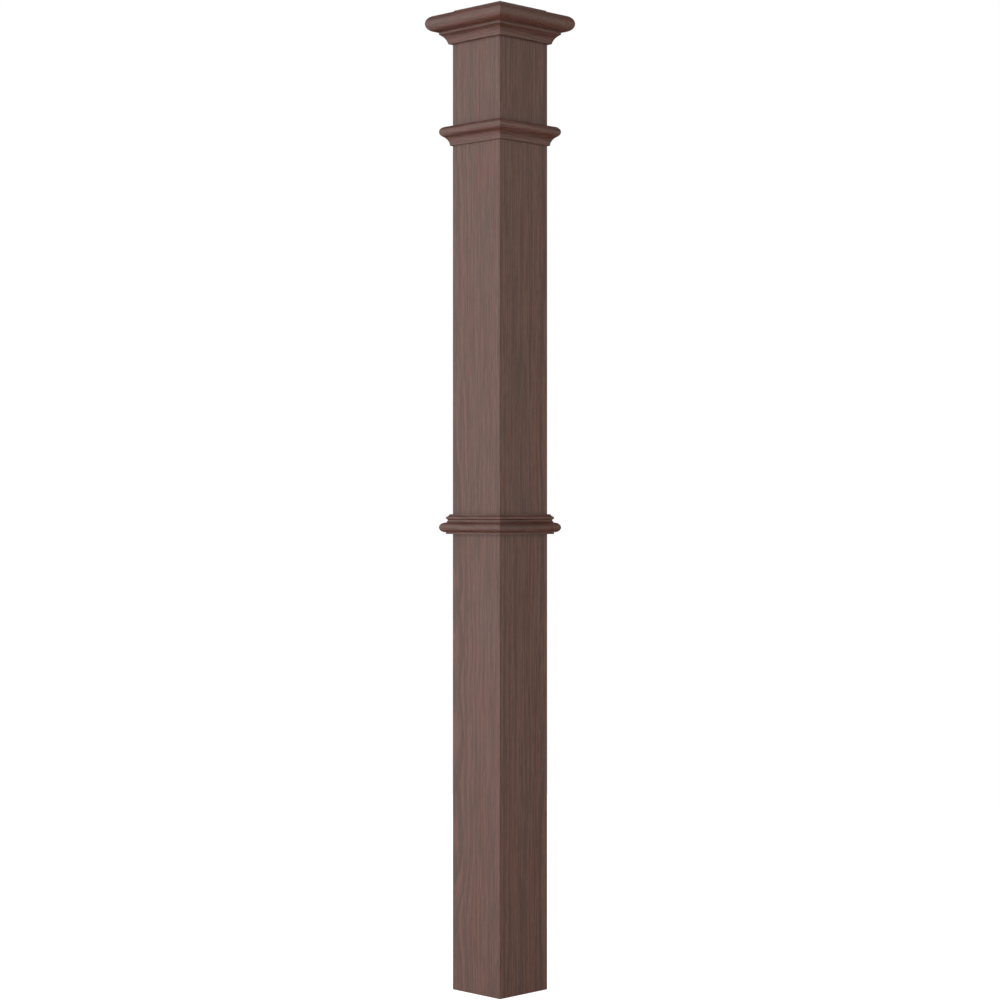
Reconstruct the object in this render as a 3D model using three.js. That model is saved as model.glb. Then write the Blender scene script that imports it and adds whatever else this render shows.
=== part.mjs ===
// Newel post: a hollow square shaft of four mitred boards, with a collar, a necking and a
// cap moulding of four mitred lengths each, and a cap with a rounded edge.
// Millimetres, +Z up, origin at the centre of the foot.

import * as THREE from "three";

// Shaft: four boards, mitred at the corners, round a hollow that fits a 3-1/2 in block
const SHAFT_WIDTH = 127;
const BOARD_THICKNESS = 19.05;
const CORNER_RADIUS = 0.6;

// Heights above the foot of each ring of moulding and of the cap's underside
const COLLAR_FOOT = 865.3;
const NECKING_FOOT = 1603;
const CAP_UNDERSIDE = 1819.1;

// Collar moulding: a fillet, a half-round, a cove, a band bevelled below, a flare and a top fillet
const COLLAR_HEIGHT = 37.8;
const COLLAR_FILLET_HEIGHT = 3.4;
const COLLAR_FILLET_PROJECTION = 9.2;
const COLLAR_ROUND_RADIUS = 9.2;
const COLLAR_PROJECTION = 18.7;
const COLLAR_COVE_HEIGHT = 5.3;
const COLLAR_COVE_PROJECTION = 6.8;
const COLLAR_BEVEL_HEIGHT = 2.1;
const COLLAR_BAND_HEIGHT = 3.7;
const COLLAR_FLARE_HEIGHT = 4.1;
const COLLAR_FLARE_PROJECTION = 8.1;
const COLLAR_TOP_PROJECTION = 4.5;

// Necking moulding: a round nose that runs smoothly into a long cove below it
const NECKING_HEIGHT = 36.5;
const NECKING_PROJECTION = 18.7;
const NOSE_RADIUS = 10.2;
const NOSE_TURN = THREE.MathUtils.degToRad(58);
const NECKING_COVE_RADIUS = 21.3;

// Cap cove moulding: a hollow cove under a flat fillet
const CAP_COVE_HEIGHT = 23.1;
const CAP_COVE_FOOT_PROJECTION = 6.25;
const CAP_COVE_TOP_PROJECTION = 18.1;
const CAP_COVE_RADIUS = 26;
const CAP_FILLET_HEIGHT = 5.25;
const CAP_FILLET_PROJECTION = 18.7;

// Cap: a square board with a full rounded edge, and a raised square flat on top
const CAP_WIDTH = 202.1;
const CAP_THICKNESS = 31.5;
const CAP_FLAT_WIDTH = 124.4;
const CAP_FLAT_RISE = 9.4;
const CAP_FLAT_EASE = 0.8;

// Flat steps that an arc is cut into
const CORNER_STEPS = 3;
const ARC_STEPS = 10;
const BULLNOSE_STEPS = 16;

const SIDES = ["front", "right", "back", "left"];
const QUARTER_TURN = Math.PI / 2;
const SHAFT_HALF = SHAFT_WIDTH / 2;

const STAIN = { shaft: "#6d5650", moulding: "#66493f", cap: "#69504a" };
const SATIN_ROUGHNESS = 0.5;

function stainedWood(colour) {
  return new THREE.MeshStandardMaterial({ color: colour, roughness: SATIN_ROUGHNESS, metalness: 0 });
}

// Points along an arc from one angle to another, both ends included
function arcPoints(centre, radius, fromAngle, toAngle, steps) {
  const points = [];
  for (let i = 0; i <= steps; i += 1) {
    const angle = fromAngle + ((toAngle - fromAngle) * i) / steps;
    const x = centre.x + radius * Math.cos(angle);
    const y = centre.y + radius * Math.sin(angle);
    points.push(new THREE.Vector2(x, y));
  }
  return points;
}

function point(x, y) {
  return new THREE.Vector2(x, y);
}

// The outline of the front board seen from above: mitred ends, the outer corners eased
function boardOutline() {
  const inner = SHAFT_HALF - BOARD_THICKNESS;
  const roundCentre = point(SHAFT_HALF - CORNER_RADIUS, CORNER_RADIUS - SHAFT_HALF);
  const rightCorner = arcPoints(
    roundCentre, CORNER_RADIUS, -QUARTER_TURN, -QUARTER_TURN / 2, CORNER_STEPS,
  );
  const leftCorner = rightCorner.map((p) => point(-p.x, p.y)).reverse();
  return [point(-inner, -inner), ...leftCorner, ...rightCorner, point(inner, -inner)];
}

function shaftBoard() {
  const outline = new THREE.Shape(boardOutline());
  return new THREE.ExtrudeGeometry(outline, { depth: CAP_UNDERSIDE, bevelEnabled: false });
}

// A moulding's outline: x is how far it stands out from the shaft, y is the height above its foot.

function collarOutline() {
  const roundCentre = point(
    COLLAR_PROJECTION - COLLAR_ROUND_RADIUS,
    COLLAR_FILLET_HEIGHT + COLLAR_ROUND_RADIUS,
  );
  const coveFoot = roundCentre.y + COLLAR_ROUND_RADIUS;
  const coveTop = coveFoot + COLLAR_COVE_HEIGHT;
  const bandFoot = coveTop + COLLAR_BEVEL_HEIGHT;
  const bandTop = bandFoot + COLLAR_BAND_HEIGHT;
  const flareTop = bandTop + COLLAR_FLARE_HEIGHT;
  const cove = new THREE.QuadraticBezierCurve(
    point(roundCentre.x, coveFoot),
    point(COLLAR_COVE_PROJECTION, coveFoot + COLLAR_COVE_HEIGHT / 2),
    point(COLLAR_COVE_PROJECTION, coveTop),
  );
  const flare = new THREE.QuadraticBezierCurve(
    point(COLLAR_FLARE_PROJECTION, bandTop),
    point(COLLAR_TOP_PROJECTION + COLLAR_FLARE_HEIGHT / 3, bandTop + COLLAR_FLARE_HEIGHT / 3),
    point(COLLAR_TOP_PROJECTION, flareTop),
  );
  return [
    point(0, 0),
    point(COLLAR_FILLET_PROJECTION, 0),
    point(COLLAR_FILLET_PROJECTION, COLLAR_FILLET_HEIGHT),
    ...arcPoints(roundCentre, COLLAR_ROUND_RADIUS, -QUARTER_TURN, QUARTER_TURN, BULLNOSE_STEPS),
    ...cove.getPoints(CORNER_STEPS).slice(1),
    point(COLLAR_FILLET_PROJECTION, bandFoot),
    point(COLLAR_FILLET_PROJECTION, bandTop),
    ...flare.getPoints(CORNER_STEPS),
    point(COLLAR_TOP_PROJECTION, COLLAR_HEIGHT),
    point(0, COLLAR_HEIGHT),
  ];
}

function neckingOutline() {
  const noseCentre = point(NECKING_PROJECTION - NOSE_RADIUS, NECKING_HEIGHT - NOSE_RADIUS);
  const span = NOSE_RADIUS + NECKING_COVE_RADIUS;
  const coveCentre = point(
    noseCentre.x + span * Math.cos(NOSE_TURN),
    noseCentre.y - span * Math.sin(NOSE_TURN),
  );
  const footAngle = Math.PI - Math.asin(-coveCentre.y / NECKING_COVE_RADIUS);
  const nose = arcPoints(noseCentre, NOSE_RADIUS, -NOSE_TURN, QUARTER_TURN, BULLNOSE_STEPS);
  const cove = arcPoints(
    coveCentre, NECKING_COVE_RADIUS, footAngle, Math.PI - NOSE_TURN, ARC_STEPS,
  );
  return [point(0, 0), ...cove.slice(0, -1), ...nose, point(0, NECKING_HEIGHT)];
}

function capCoveOutline() {
  const filletFoot = CAP_COVE_HEIGHT - CAP_FILLET_HEIGHT;
  const foot = point(CAP_COVE_FOOT_PROJECTION, 0);
  const top = point(CAP_COVE_TOP_PROJECTION, filletFoot);
  const middle = foot.clone().add(top).multiplyScalar(0.5);
  const half = foot.distanceTo(top) / 2;
  const toCentre = point(top.y - foot.y, foot.x - top.x).normalize();
  const centre = middle.addScaledVector(toCentre, Math.sqrt(CAP_COVE_RADIUS ** 2 - half ** 2));
  const footAngle = foot.clone().sub(centre).angle();
  const topAngle = top.clone().sub(centre).angle();
  return [
    point(0, 0),
    ...arcPoints(centre, CAP_COVE_RADIUS, footAngle, topAngle, ARC_STEPS),
    point(CAP_FILLET_PROJECTION, filletFoot),
    point(CAP_FILLET_PROJECTION, CAP_COVE_HEIGHT),
    point(0, CAP_COVE_HEIGHT),
  ];
}

// One length of moulding on the shaft's front face. The outline is extruded by one unit, then
// each point is drawn out sideways as far as it stands from the shaft's axis, which cuts both
// ends to a 45 degree mitre.
function mitredLength(outline) {
  const shape = new THREE.Shape(outline);
  const geometry = new THREE.ExtrudeGeometry(shape, { depth: 1, bevelEnabled: false });
  const position = geometry.attributes.position;
  for (let i = 0; i < position.count; i += 1) {
    const reach = SHAFT_HALF + position.getX(i);
    const height = position.getY(i);
    const along = 1 - 2 * position.getZ(i);
    position.setXYZ(i, along * reach, -reach, height);
  }
  geometry.computeVertexNormals();
  return geometry;
}

// The cap is its outline turned round the post's axis in four flat sides
function capBlock() {
  const nose = CAP_THICKNESS / 2;
  const noseCentre = point(CAP_WIDTH / 2 - nose, nose);
  const flatHalf = CAP_FLAT_WIDTH / 2;
  const top = CAP_THICKNESS + CAP_FLAT_RISE;
  const outline = [
    point(0, 0),
    ...arcPoints(noseCentre, nose, -QUARTER_TURN, QUARTER_TURN, BULLNOSE_STEPS),
    point(flatHalf, CAP_THICKNESS),
    point(flatHalf, top - CAP_FLAT_EASE),
    point(flatHalf - CAP_FLAT_EASE, top),
    point(0, top),
  ];
  const toCorner = Math.SQRT2;
  const cornerOutline = outline.map((p) => point(p.x * toCorner, p.y));
  const geometry = new THREE.LatheGeometry(cornerOutline, SIDES.length, QUARTER_TURN / 2);
  geometry.rotateX(QUARTER_TURN);
  return geometry;
}

// The same piece on each of the four sides, at a quarter turn from the last
function fourSides(name, geometry, foot, colour) {
  const ring = new THREE.Group();
  SIDES.forEach((side, index) => {
    const mesh = new THREE.Mesh(geometry, stainedWood(colour));
    mesh.name = `${name}_${side}`;
    mesh.position.z = foot;
    mesh.rotation.z = index * QUARTER_TURN;
    ring.add(mesh);
  });
  return ring;
}

const newel = new THREE.Group();
newel.add(fourSides("shaft_board", shaftBoard(), 0, STAIN.shaft));
newel.add(fourSides("collar", mitredLength(collarOutline()), COLLAR_FOOT, STAIN.moulding));
newel.add(fourSides("necking", mitredLength(neckingOutline()), NECKING_FOOT, STAIN.moulding));
const capCoveFoot = CAP_UNDERSIDE - CAP_COVE_HEIGHT;
newel.add(fourSides("cap_cove", mitredLength(capCoveOutline()), capCoveFoot, STAIN.moulding));

const cap = new THREE.Mesh(capBlock(), stainedWood(STAIN.cap));
cap.name = "cap";
cap.position.z = CAP_UNDERSIDE;
newel.add(cap);

export default newel;
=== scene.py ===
"""A box newel post in dark stained wood: the finish and the fine shape of every piece."""

from math import asin, cos, pi, radians, sin

import bmesh
import bpy
from mathutils import Matrix, Vector


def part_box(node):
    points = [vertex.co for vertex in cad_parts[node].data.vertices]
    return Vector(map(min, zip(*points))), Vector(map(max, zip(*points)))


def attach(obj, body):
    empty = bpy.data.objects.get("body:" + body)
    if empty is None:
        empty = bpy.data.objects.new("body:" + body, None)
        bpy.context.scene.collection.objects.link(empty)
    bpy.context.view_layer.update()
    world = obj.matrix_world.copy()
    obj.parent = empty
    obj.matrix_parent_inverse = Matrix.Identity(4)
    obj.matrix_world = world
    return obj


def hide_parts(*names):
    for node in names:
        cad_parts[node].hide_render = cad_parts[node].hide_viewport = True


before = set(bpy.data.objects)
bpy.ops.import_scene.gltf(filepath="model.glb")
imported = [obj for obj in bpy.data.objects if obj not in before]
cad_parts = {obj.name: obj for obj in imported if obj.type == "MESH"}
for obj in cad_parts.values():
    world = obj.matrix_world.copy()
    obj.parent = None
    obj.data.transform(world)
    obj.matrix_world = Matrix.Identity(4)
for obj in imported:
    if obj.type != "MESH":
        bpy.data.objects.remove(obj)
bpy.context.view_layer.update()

# Shaft: four boards of straight-grained wood, mitred along their edges and glued into a hollow
# square box. The corners are sanded round after gluing, so each board carries half of a round.

SIDES = ("front", "right", "back", "left")
board_low, board_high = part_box("shaft_board_front")
shaft_half = -board_low.y
hollow_half = -board_high.y
shaft_top = board_high.z
corner_round = 0.0006
glue_line = 0.00006


def clear_bench():
    bpy.ops.object.select_all(action="DESELECT")


def add_block(name, low, high):
    """A block between two corners, open for shaping with nothing picked."""
    clear_bench()
    bpy.ops.mesh.primitive_cube_add(size=1, location=(low + high) / 2, scale=high - low)
    piece = bpy.context.object
    piece.name = name
    bpy.ops.object.transform_apply(location=True, rotation=False, scale=True)
    bpy.ops.object.mode_set(mode="EDIT")
    bpy.ops.mesh.select_all(action="DESELECT")
    return piece


def pick_edges(piece, wanted):
    """Picks each edge for which wanted says yes, given its two ends."""
    bpy.ops.mesh.select_all(action="DESELECT")
    shape = bmesh.from_edit_mesh(piece.data)
    bpy.context.tool_settings.mesh_select_mode = (False, True, False)
    for edge in shape.edges:
        edge.select = wanted(edge.verts[0].co, edge.verts[1].co)
    bmesh.update_edit_mesh(piece.data)


def round_over(radius, segments):
    bpy.ops.mesh.bevel(
        offset=radius, offset_type="OFFSET", segments=segments, profile=0.5, affect="EDGES"
    )


def saw(facing, through=(0, 0, 0)):
    """Saws the whole piece along a plane and drops the side that the plane faces."""
    bpy.ops.mesh.select_all(action="SELECT")
    bpy.ops.mesh.bisect(plane_co=through, plane_no=facing, use_fill=True, clear_outer=True)


def saw_mitres():
    """Saws both ends of a front piece to 45 degrees, a glue line short of its neighbours."""
    for end in (1, -1):
        saw((end, 1, 0), through=(0, -glue_line, 0))


def smooth_finish(piece, arris=0.0):
    """Closes the shaping, eases the arrises if asked, and smooths all but the real edges."""
    bpy.ops.mesh.select_all(action="SELECT")
    bpy.ops.mesh.remove_doubles(threshold=0.000001)
    bpy.ops.mesh.normals_make_consistent(inside=False)
    bpy.ops.object.mode_set(mode="OBJECT")
    if arris:
        easing = piece.modifiers.new("eased arrises", "BEVEL")
        easing.width = arris
        easing.segments = 2
        easing.limit_method = "ANGLE"
        easing.angle_limit = radians(28)
        bpy.ops.object.modifier_apply(modifier=easing.name)
    bpy.ops.object.shade_smooth_by_angle(angle=radians(32))
    weighting = piece.modifiers.new("flats stay flat", "WEIGHTED_NORMAL")
    weighting.keep_sharp = True
    bpy.ops.object.modifier_apply(modifier=weighting.name)


def four_sides(front, name):
    """The front piece and its three copies, each a quarter turn further round the post."""
    pieces = [front]
    for quarter, side in enumerate(SIDES[1:], start=1):
        copy = front.copy()
        copy.data = front.data.copy()
        copy.name = f"{name}_{side}_wood"
        copy.data.name = copy.name
        copy.data.transform(Matrix.Rotation(quarter * pi / 2, 4, "Z"))
        bpy.context.collection.objects.link(copy)
        pieces.append(copy)
    return pieces


def dress(piece, node, material):
    piece.data.materials.clear()
    piece.data.materials.append(material)
    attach(piece, "root")
    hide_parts(node)


class Wire:
    """One output of a shader node. Arithmetic on it adds Math nodes to the same material."""

    def __init__(self, tree, socket=None):
        self.tree = tree
        self.socket = socket

    def add(self, kind, settings=None, inputs=None, output=0):
        """Adds any other node: its settings first, then the values or wires of its sockets."""
        node = self.tree.nodes.new(kind)
        for name, value in (settings or {}).items():
            if name == "stops":
                ramp = node.color_ramp
                ramp.interpolation = "EASE"
                while len(ramp.elements) < len(value):
                    ramp.elements.new(0.5)
                for element, (place, shade) in zip(ramp.elements, value):
                    element.position = place
                    element.color = (*shade, 1) if isinstance(shade, tuple) else (shade, shade, shade, 1)
            else:
                setattr(node, name, value)
        for key, value in (inputs or {}).items():
            if isinstance(value, Wire):
                self.tree.links.new(value.socket, node.inputs[key])
            else:
                node.inputs[key].default_value = value
        return Wire(self.tree, node.outputs[output]) if node.outputs else None

    def also(self, output):
        """Another output of the same node."""
        return Wire(self.tree, self.socket.node.outputs[output])

    def maths(self, operation, a, b=0.0, clamp=False):
        settings = {"operation": operation, "use_clamp": clamp}
        return self.add("ShaderNodeMath", settings, {0: a, 1: b})

    def __add__(self, other):
        return self.maths("ADD", self, other)

    def __radd__(self, other):
        return self.maths("ADD", other, self)

    def __sub__(self, other):
        return self.maths("SUBTRACT", self, other)

    def __rsub__(self, other):
        return self.maths("SUBTRACT", other, self)

    def __mul__(self, other):
        return self.maths("MULTIPLY", self, other)

    def __rmul__(self, other):
        return self.maths("MULTIPLY", other, self)

    def __truediv__(self, other):
        return self.maths("DIVIDE", self, other)

    def __pow__(self, other):
        return self.maths("POWER", self, other)


def blend_colours(amount, one, other):
    """From one colour, at amount 0, to the other, at amount 1."""
    settings = {"data_type": "RGBA", "blend_type": "MIX", "clamp_factor": True}
    return amount.add("ShaderNodeMix", settings, {0: amount, 6: one, 7: other}, output=2)


def stretched_noise(place, across, along, detail=2.0, roughness=0.5):
    """Noise drawn out along the grain: across and along are its scales, in waves a metre."""
    stretched = place.add(
        "ShaderNodeVectorMath", {"operation": "MULTIPLY"}, {0: place, 1: (across, across, along)}
    )
    return place.add(
        "ShaderNodeTexNoise",
        {"noise_dimensions": "3D"},
        {"Vector": stretched, "Scale": 1.0, "Detail": detail, "Roughness": roughness},
    )


def line_noise(place, scale, detail=0.0, roughness=0.5):
    """Noise along one measure alone."""
    return place.add(
        "ShaderNodeTexNoise",
        {"noise_dimensions": "1D"},
        {"W": place, "Scale": scale, "Detail": detail, "Roughness": roughness},
    )


ring_width = 0.0066
heart_span = 2.0
warm_dark = (0.110, 0.0305, 0.0155, 1)
warm_light = (0.185, 0.0655, 0.0455, 1)
cool_dark = (0.095, 0.0370, 0.0260, 1)
cool_light = (0.170, 0.0720, 0.0560, 1)
pore_stain = (0.040, 0.0140, 0.0100, 1)


def stained_wood(name, quarter, centre, heart, seed=0.0, laid=False):
    """Stained wood with growth rings round a heart line that wanders behind the face.

    The piece stands a number of quarter turns round from the front. Its heart line is a list of
    places: how far along the piece from its centre, how far across it, how deep behind it, and
    how boldly every other growth ring shows there.
    """
    material = bpy.data.materials.new(name)
    material.use_nodes = True
    tree = material.node_tree
    tree.nodes.clear()
    start = Wire(tree)
    place = start.add("ShaderNodeTexCoord", output=3)
    place = start.add(
        "ShaderNodeMapping",
        {"vector_type": "POINT"},
        {"Vector": place, "Rotation": (0, 0, -quarter * pi / 2), "Location": -Vector(centre)},
    )
    if laid:
        place = start.add(
            "ShaderNodeMapping",
            {"vector_type": "POINT"},
            {"Vector": place, "Rotation": (0, -pi / 2, 0)},
        )
    across = start.add("ShaderNodeSeparateXYZ", {}, {0: place})
    depth = across.also("Y")
    along = across.also("Z")

    foot, top = heart[0][0], heart[-1][0]
    stops = [
        ((z - foot) / (top - foot), (x / heart_span + 0.5, y / heart_span + 0.5, bold))
        for z, x, y, bold in heart
    ]
    heart_line = start.add("ShaderNodeValToRGB", {"stops": stops}, {0: (along - foot) / (top - foot)})
    heart_place = start.add("ShaderNodeSeparateXYZ", {}, {0: heart_line})
    sway = (line_noise(along + seed, 2.5, detail=1) - 0.5) * 0.004
    u = across - (heart_place - 0.5) * heart_span + sway
    v = depth - (heart_place.also("Y") - 0.5) * heart_span
    ring_radius = (u * u + v * v) ** 0.5
    bearing = start.maths("ARCTAN2", u, v)
    rings = line_noise(ring_radius + seed, 130.0, detail=2, roughness=1.0)
    uneven = line_noise(ring_radius - seed, 22.0, detail=1)
    ring_turns = ring_radius / ring_width + uneven * 4.0
    latewood = start.maths("SINE", ring_turns * (2 * pi))
    boldness = heart_place.also("Z")
    near_heart = start.add(
        "ShaderNodeMapRange", {"clamp": True}, {0: ring_radius, 1: 0.045, 2: 0.072, 3: 1.0, 4: 0.0}
    )
    bands = start.maths("SINE", ring_turns * pi) * (boldness * 0.6 + near_heart)
    core_stops = [(0.0, 0.85), (0.30, 0.85), (0.48, 0.10), (0.58, 0.25), (0.80, 0.5), (1.0, 0.5)]
    core = start.add("ShaderNodeValToRGB", {"stops": core_stops}, {0: ring_radius / 0.05})
    core = start.add("ShaderNodeSeparateXYZ", {}, {0: core})

    ring_place = start.add(
        "ShaderNodeCombineXYZ", {}, {0: ring_radius + seed, 1: bearing * 0.015, 2: along}
    )
    own_place = start.add(
        "ShaderNodeVectorMath", {"operation": "ADD"}, {0: place, 1: (seed, seed * 0.7, seed * 1.3)}
    )
    strength = stretched_noise(own_place, across=40, along=6, detail=1)
    lines = stretched_noise(own_place, across=115, along=1.6, detail=2, roughness=0.8)
    streaks = stretched_noise(own_place, across=240, along=7, detail=2, roughness=1.0)
    fibres = stretched_noise(own_place, across=520, along=14, detail=2, roughness=0.7)
    flecks = stretched_noise(own_place, across=380, along=60, detail=1)
    pores = stretched_noise(own_place, across=1500, along=45, detail=1)
    patches = stretched_noise(own_place, across=30, along=14, detail=2)
    shades = stretched_noise(ring_place, across=110, along=5, detail=1, roughness=0.6)

    tone = (rings - 0.5) * (boldness * 1.4 + 0.7) + (lines - 0.5) * (boldness * 2.8 + 0.5)
    tone = tone + (streaks - 0.5) * 3.0 + (fibres - 0.5) * 3.2
    tone = tone + (flecks - 0.5) * 0.8 + (patches - 0.5) * 0.45
    tone = tone + latewood * (strength - 0.15) * 0.6 + bands * strength * 0.7
    tone = tone + (core - 0.5) * 1.0 + 0.5
    warm = blend_colours(tone, warm_dark, warm_light)
    cool = blend_colours(tone, cool_dark, cool_light)
    coolness = (shades - 0.5) * 2.6 - (core - 0.5) * 0.9 - bands * 0.5 + 0.5
    colour = blend_colours(coolness, warm, cool)
    pore_depth = pores.add(
        "ShaderNodeMapRange", {"clamp": True}, {0: pores, 1: 0.54, 2: 0.70, 3: 0.0, 4: 1.0}
    )
    colour = blend_colours(pore_depth * 0.5, colour, pore_stain)

    relief = fibres * 0.25 - pore_depth * 0.8
    bump = start.add(
        "ShaderNodeBump", {}, {"Strength": 0.2, "Distance": 0.0001, "Height": relief}
    )
    sheen = (fibres - 0.5) * 0.06 + 0.45
    wood = start.add(
        "ShaderNodeBsdfPrincipled",
        {},
        {"Base Color": colour, "Roughness": sheen, "Normal": bump, "IOR": 1.5},
    )
    start.add("ShaderNodeOutputMaterial", {}, {"Surface": wood})
    return material


block_low = Vector((-shaft_half, -shaft_half, 0))
block_high = Vector((shaft_half, shaft_half, shaft_top))
board = add_block("shaft_board_front_wood", block_low, block_high)
pick_edges(board, lambda a, b: abs(a.z - b.z) > shaft_top / 2)
round_over(corner_round, segments=6)
saw_mitres()
saw((0, 1, 0), through=(0, -hollow_half, 0))
smooth_finish(board)

board_hearts = (
    (
        (0.01, -0.062, 0.036, 0.5), (0.13, -0.062, 0.042, 0.5), (0.30, -0.062, 0.015, 0.6),
        (0.388, -0.062, 0.025, 0.7), (0.483, -0.062, 0.013, 0.7), (0.578, -0.062, 0.025, 0.8),
        (0.654, -0.062, 0.012, 0.8), (0.730, -0.062, 0.025, 0.8), (0.778, -0.062, 0.016, 0.8),
        (0.826, -0.062, 0.025, 0.8), (0.92, -0.062, 0.022, 0.5), (1.04, -0.062, 0.031, 0.2),
        (1.24, -0.062, 0.041, 0.0), (1.47, -0.062, 0.040, 0.0), (1.65, -0.062, 0.043, 0.1),
        (1.80, -0.062, 0.042, 0.1),
    ),
    (
        (0.01, 0.085, 0.040, 0.9), (0.17, 0.085, 0.034, 0.9), (0.40, 0.085, 0.042, 0.8),
        (0.62, 0.085, 0.034, 0.9), (0.90, 0.085, 0.042, 0.7), (1.07, 0.085, 0.036, 0.5),
        (1.22, 0.085, 0.040, 0.5), (1.40, 0.085, 0.046, 0.4), (1.60, 0.085, 0.042, 0.4),
        (1.80, 0.085, 0.048, 0.4),
    ),
    (
        (0.0, 0.030, 0.030, 0.6), (0.6, 0.020, 0.024, 0.6), (1.2, 0.030, 0.045, 0.3),
        (1.8, 0.010, 0.030, 0.3),
    ),
    (
        (0.0, -0.020, 0.045, 0.6), (0.5, -0.010, 0.028, 0.6), (1.1, -0.030, 0.022, 0.4),
        (1.8, -0.010, 0.040, 0.3),
    ),
)
for index, piece in enumerate(four_sides(board, "shaft_board")):
    side = SIDES[index]
    finish = stained_wood(
        f"shaft board {side}",
        quarter=index,
        centre=(0, -shaft_half, 0),
        heart=board_hearts[index],
        seed=3.7 * (index + 1),
    )
    dress(piece, f"shaft_board_{side}", finish)


# Mouldings: each ring is four lengths run to one outline and mitred at the corners. The outline
# is drawn on the left end of the front piece, out from the shaft's face and up from its foot.


def start_outline(name, foot):
    """A single point on the shaft's face, from which an outline is drawn."""
    clear_bench()
    reach = shaft_half * 2
    bpy.ops.mesh.primitive_plane_add(size=0.001, location=(-reach, -shaft_half, foot))
    piece = bpy.context.object
    piece.name = name
    bpy.ops.object.transform_apply(location=True, rotation=False, scale=False)
    bpy.ops.object.mode_set(mode="EDIT")
    bpy.context.tool_settings.mesh_select_mode = (True, False, False)
    bpy.ops.mesh.select_all(action="SELECT")
    bpy.ops.mesh.merge(type="CENTER")
    return piece


def pen(piece):
    shape = bmesh.from_edit_mesh(piece.data)
    return next(v.co.copy() for v in shape.verts if v.select)


def draw_line(piece, foot, out, up):
    """Draws on to a point that stands out from the face and up from the foot."""
    target = Vector((pen(piece).x, -shaft_half - out, foot + up))
    step = target - pen(piece)
    bpy.ops.mesh.extrude_region_move(TRANSFORM_OT_translate={"value": step})


def draw_arc(piece, foot, out, up, turn, steps=24):
    """Draws on round a centre, by an angle that is positive from down to out to up."""
    centre = Vector((pen(piece).x, -shaft_half - out, foot + up))
    bpy.ops.mesh.spin(steps=steps, angle=turn, center=centre, axis=(1, 0, 0))


def draw_curve(piece, foot, bend, end, steps=8):
    """Draws on in a smooth hollow to an end, pulled towards a bend; both are (out, up)."""
    start = Vector((-shaft_half - pen(piece).y, pen(piece).z - foot))
    for step in range(1, steps + 1):
        t = step / steps
        place = start * (1 - t) ** 2 + Vector(bend) * 2 * t * (1 - t) + Vector(end) * t**2
        draw_line(piece, foot, place.x, place.y)


def run_outline(piece):
    """Closes the outline, runs it along the face and saws both ends to the mitre."""
    bpy.ops.mesh.select_all(action="SELECT")
    bpy.ops.mesh.remove_doubles(threshold=0.000001)
    bpy.ops.mesh.edge_face_add()
    length = shaft_half * 4
    bpy.ops.mesh.extrude_region_move(TRANSFORM_OT_translate={"value": (length, 0, 0)})
    saw_mitres()


# Collar: fillet, half-round, cove, a band with a bevelled underside, flare and top fillet.

collar_low, collar_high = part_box("collar_front")
collar_foot = collar_low.z
collar_height = collar_high.z - collar_low.z
collar_reach = -collar_low.y - shaft_half
fillet_out = 0.0092
fillet_up = 0.0034
round_radius = 0.0092
cove_out = 0.0068
cove_up = 0.0053
bevel_up = 0.0021
band_up = 0.0037
flare_up = 0.0041
flare_out = 0.0081
top_out = 0.0045

round_out = collar_reach - round_radius
cove_foot = fillet_up + round_radius * 2
cove_top = cove_foot + cove_up
band_foot = cove_top + bevel_up
band_top = band_foot + band_up
collar = start_outline("collar_front_wood", collar_foot)
draw_line(collar, collar_foot, fillet_out, 0)
draw_line(collar, collar_foot, fillet_out, fillet_up)
draw_line(collar, collar_foot, round_out, fillet_up)
draw_arc(collar, collar_foot, round_out, fillet_up + round_radius, pi)
draw_curve(collar, collar_foot, (cove_out, cove_foot + cove_up / 2), (cove_out, cove_top))
draw_line(collar, collar_foot, fillet_out, band_foot)
draw_line(collar, collar_foot, fillet_out, band_top)
draw_line(collar, collar_foot, flare_out, band_top)
flare_bend = flare_up / 3
draw_curve(
    collar,
    collar_foot,
    (top_out + flare_bend, band_top + flare_bend),
    (top_out, band_top + flare_up),
)
draw_line(collar, collar_foot, top_out, collar_height)
draw_line(collar, collar_foot, 0, collar_height)
run_outline(collar)
smooth_finish(collar, arris=0.00025)

moulding_hearts = (
    ((-0.09, 0.20, 0.09, 0.1), (0.0, 0.21, 0.09, 0.2), (0.09, 0.26, 0.07, 0.4)),
    ((-0.09, 0.08, 0.10, 0.2), (0.09, 0.09, 0.10, 0.2)),
    ((-0.09, -0.07, 0.11, 0.2), (0.09, -0.08, 0.10, 0.2)),
    ((-0.09, 0.09, 0.12, 0.2), (0.09, 0.10, 0.10, 0.2)),
)
for index, piece in enumerate(four_sides(collar, "collar")):
    side = SIDES[index]
    finish = stained_wood(
        f"collar {side}",
        quarter=index,
        centre=(0, -shaft_half - collar_reach, collar_foot + collar_height / 2),
        heart=moulding_hearts[index],
        seed=1.9 * (index + 1),
        laid=True,
    )
    dress(piece, f"collar_{side}", finish)

# Necking: a round nose that runs smoothly into a long cove.

necking_low, necking_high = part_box("necking_front")
necking_foot = necking_low.z
necking_height = necking_high.z - necking_low.z
necking_reach = -necking_low.y - shaft_half
nose_radius = 0.0102
nose_turn = radians(58)
necking_cove_radius = 0.0213

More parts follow.
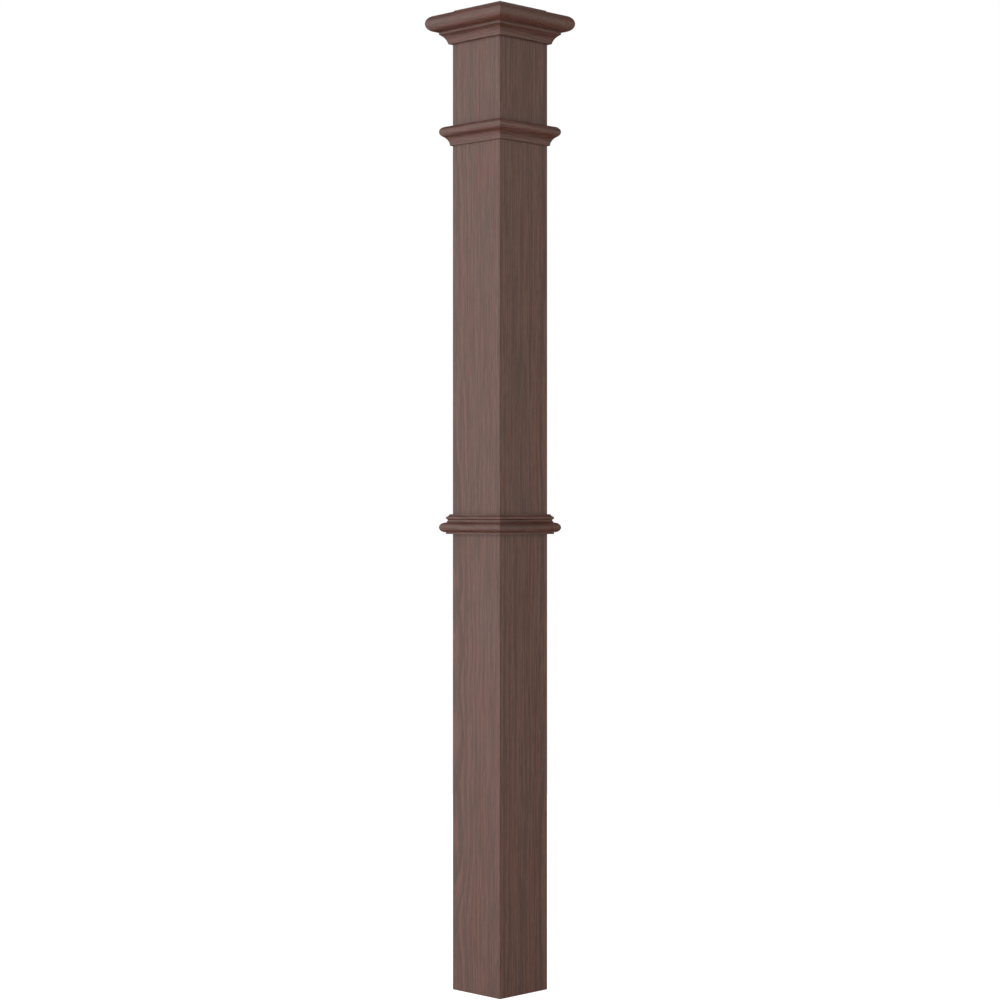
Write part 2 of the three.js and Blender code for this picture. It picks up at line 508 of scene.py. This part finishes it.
nose_out = necking_reach - nose_radius
nose_up = necking_height - nose_radius
span = nose_radius + necking_cove_radius
cove_centre_out = nose_out + span * cos(nose_turn)
cove_centre_up = nose_up - span * sin(nose_turn)
foot_angle = asin(-cove_centre_up / necking_cove_radius)
necking = start_outline("necking_front_wood", necking_foot)
foot_out = cove_centre_out - necking_cove_radius * cos(foot_angle)
draw_line(necking, necking_foot, foot_out, 0)
draw_arc(
    necking, necking_foot, cove_centre_out, cove_centre_up, -(nose_turn - foot_angle), steps=16
)
draw_arc(necking, necking_foot, nose_out, nose_up, nose_turn + pi / 2)
draw_line(necking, necking_foot, 0, necking_height)
run_outline(necking)
smooth_finish(necking, arris=0.00025)

for index, piece in enumerate(four_sides(necking, "necking")):
    side = SIDES[index]
    finish = stained_wood(
        f"necking {side}",
        quarter=index,
        centre=(0, -shaft_half - necking_reach, necking_foot + necking_height / 2),
        heart=moulding_hearts[index],
        seed=2.3 * (index + 1),
        laid=True,
    )
    dress(piece, f"necking_{side}", finish)

# Cap cove: a hollow cove under a square fillet, tight under the cap.

cap_cove_low, cap_cove_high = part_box("cap_cove_front")
cap_cove_foot = cap_cove_low.z
cap_cove_height = cap_cove_high.z - cap_cove_low.z
cap_cove_reach = -cap_cove_low.y - shaft_half
cap_fillet = 0.00525
cap_cove_foot_out = 0.00625
cap_cove_top_out = 0.0181
cap_cove_radius = 0.026

cap_cove_rise = cap_cove_height - cap_fillet
chord = Vector((cap_cove_top_out - cap_cove_foot_out, cap_cove_rise))
half_turn = asin(chord.length / 2 / cap_cove_radius)
to_centre = Vector((chord.y, -chord.x)).normalized() * cap_cove_radius * cos(half_turn)
cap_cove = start_outline("cap_cove_front_wood", cap_cove_foot)
draw_line(cap_cove, cap_cove_foot, cap_cove_foot_out, 0)
draw_arc(
    cap_cove,
    cap_cove_foot,
    cap_cove_foot_out + chord.x / 2 + to_centre.x,
    chord.y / 2 + to_centre.y,
    -2 * half_turn,
    steps=16,
)
draw_line(cap_cove, cap_cove_foot, cap_cove_reach, cap_cove_rise)
draw_line(cap_cove, cap_cove_foot, cap_cove_reach, cap_cove_height)
draw_line(cap_cove, cap_cove_foot, 0, cap_cove_height)
run_outline(cap_cove)
smooth_finish(cap_cove, arris=0.00025)

for index, piece in enumerate(four_sides(cap_cove, "cap_cove")):
    side = SIDES[index]
    finish = stained_wood(
        f"cap cove {side}",
        quarter=index,
        centre=(0, -shaft_half - cap_cove_reach, cap_cove_foot + cap_cove_height / 2),
        heart=moulding_hearts[index],
        seed=3.1 * (index + 1),
        laid=True,
    )
    dress(piece, f"cap_cove_{side}", finish)

# Cap: one square board with a full round edge and a raised square flat on top.

cap_low, cap_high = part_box("cap")
cap_thickness = 0.0315
cap_flat_half = 0.0622
flat_ease = 0.0008
cap_edge = cap_high.x

board_top = Vector((cap_edge, cap_edge, cap_low.z + cap_thickness))
cap = add_block("cap_wood", cap_low, board_top)
shape = bmesh.from_edit_mesh(cap.data)
bpy.context.tool_settings.mesh_select_mode = (False, False, True)
for face in shape.faces:
    face.select = face.normal.z > 0.9
bmesh.update_edit_mesh(cap.data)
bpy.ops.mesh.inset(thickness=cap_edge - cap_flat_half)
rise = cap_high.z - board_top.z
bpy.ops.mesh.extrude_region_move(TRANSFORM_OT_translate={"value": (0, 0, rise)})


def on_rim(a, b):
    level = abs(a.z - b.z) < 0.0001
    middle = (a + b) / 2
    return level and max(abs(middle.x), abs(middle.y)) > cap_edge - 0.0001


def on_flat_rim(a, b):
    return min(a.z, b.z) > cap_high.z - 0.0001


pick_edges(cap, on_rim)
round_over(cap_thickness / 2, segments=20)
pick_edges(cap, on_flat_rim)
round_over(flat_ease, segments=3)
smooth_finish(cap)
finish = stained_wood(
    "cap",
    quarter=0,
    centre=(0, 0, cap_high.z),
    heart=((-0.11, 0.30, -0.03, 0.1), (0.0, 0.30, -0.03, 0.1), (0.11, 0.32, -0.03, 0.15)),
    seed=5.3,
    laid=True,
)
dress(cap, "cap", finish)

# Studio: a round pale floor, a white surround, and tall soft lights at either hand of the camera.

camera_distance = 4.419
camera_height = 0.9186
camera_rise = 0.006
lens = 83.7
sensor = 36.0
corner_view = radians(45)
room_light = 0.076
floor_radius = 3.0
floor_tone = 0.70
floor_glow = 0.30

clear_bench()
bpy.ops.mesh.primitive_circle_add(
    radius=floor_radius, vertices=96, fill_type="NGON", location=(0, 0, -0.0005)
)
floor = bpy.context.object
floor.name = "studio_floor"
floor.visible_glossy = False
floor_paint = bpy.data.materials.new("floor paint")
floor_paint.use_nodes = True
floor_paint.node_tree.nodes.clear()
paint = Wire(floor_paint.node_tree)
seen = paint.add("ShaderNodeLightPath")
matt = paint.add("ShaderNodeBsdfDiffuse", {}, {"Color": (floor_tone, floor_tone, floor_tone, 1)})
glow = paint.add(
    "ShaderNodeEmission", {}, {"Color": (1, 1, 1, 1), "Strength": seen * (1 - floor_glow) + floor_glow}
)
lit = paint.add("ShaderNodeAddShader", {}, {0: matt, 1: glow})
paint.add("ShaderNodeOutputMaterial", {}, {"Surface": lit})
floor.data.materials.append(floor_paint)

world = bpy.data.worlds.new("studio")
bpy.context.scene.world = world
world.use_nodes = True
surround = Wire(world.node_tree)
world.node_tree.nodes.clear()
seen = surround.add("ShaderNodeLightPath")
light = surround.add(
    "ShaderNodeBackground",
    {},
    {"Color": (1, 1, 1, 1), "Strength": seen * (1 - room_light) + room_light},
)
surround.add("ShaderNodeOutputWorld", {}, {"Surface": light})


def soft_light(name, azimuth, distance, height, width, tall, power, colour=(1, 1, 1)):
    """A soft panel that faces the post from an azimuth, seen from above."""
    place = Vector((distance * sin(azimuth), -distance * cos(azimuth), height))
    bpy.ops.object.light_add(type="AREA", location=place)
    light = bpy.context.object
    light.name = name
    light.data.shape = "RECTANGLE"
    light.data.size = width
    light.data.size_y = tall
    light.data.energy = power
    light.data.color = colour
    light.rotation_euler = (Vector((0, 0, height)) - place).to_track_quat("-Z", "Y").to_euler()
    return light


soft_light("left panel", corner_view - radians(73), 3.2, 1.5, 1.96, 5.4, 90, (1, 0.99, 0.95))
soft_light("left rear panel", corner_view - radians(107), 3.2, 1.5, 1.96, 5.4, 41, (1, 0.99, 0.95))
soft_light("right panel", corner_view + radians(73), 3.2, 1.5, 1.96, 5.4, 61, (1, 1.03, 0.93))
overhead = soft_light("overhead panel", 0, 0, 4.5, 4, 4, 34)
overhead.rotation_euler = (0, 0, 0)

eye = Vector(
    (camera_distance * sin(corner_view), -camera_distance * cos(corner_view), camera_height)
)
bpy.ops.object.camera_add(location=eye)
camera = bpy.context.object
camera.data.lens = lens
camera.data.sensor_width = sensor
camera.data.shift_y = camera_rise
camera.rotation_euler = (pi / 2, 0, corner_view)
bpy.context.scene.camera = camera
bpy.context.scene.view_settings.view_transform = "Standard"
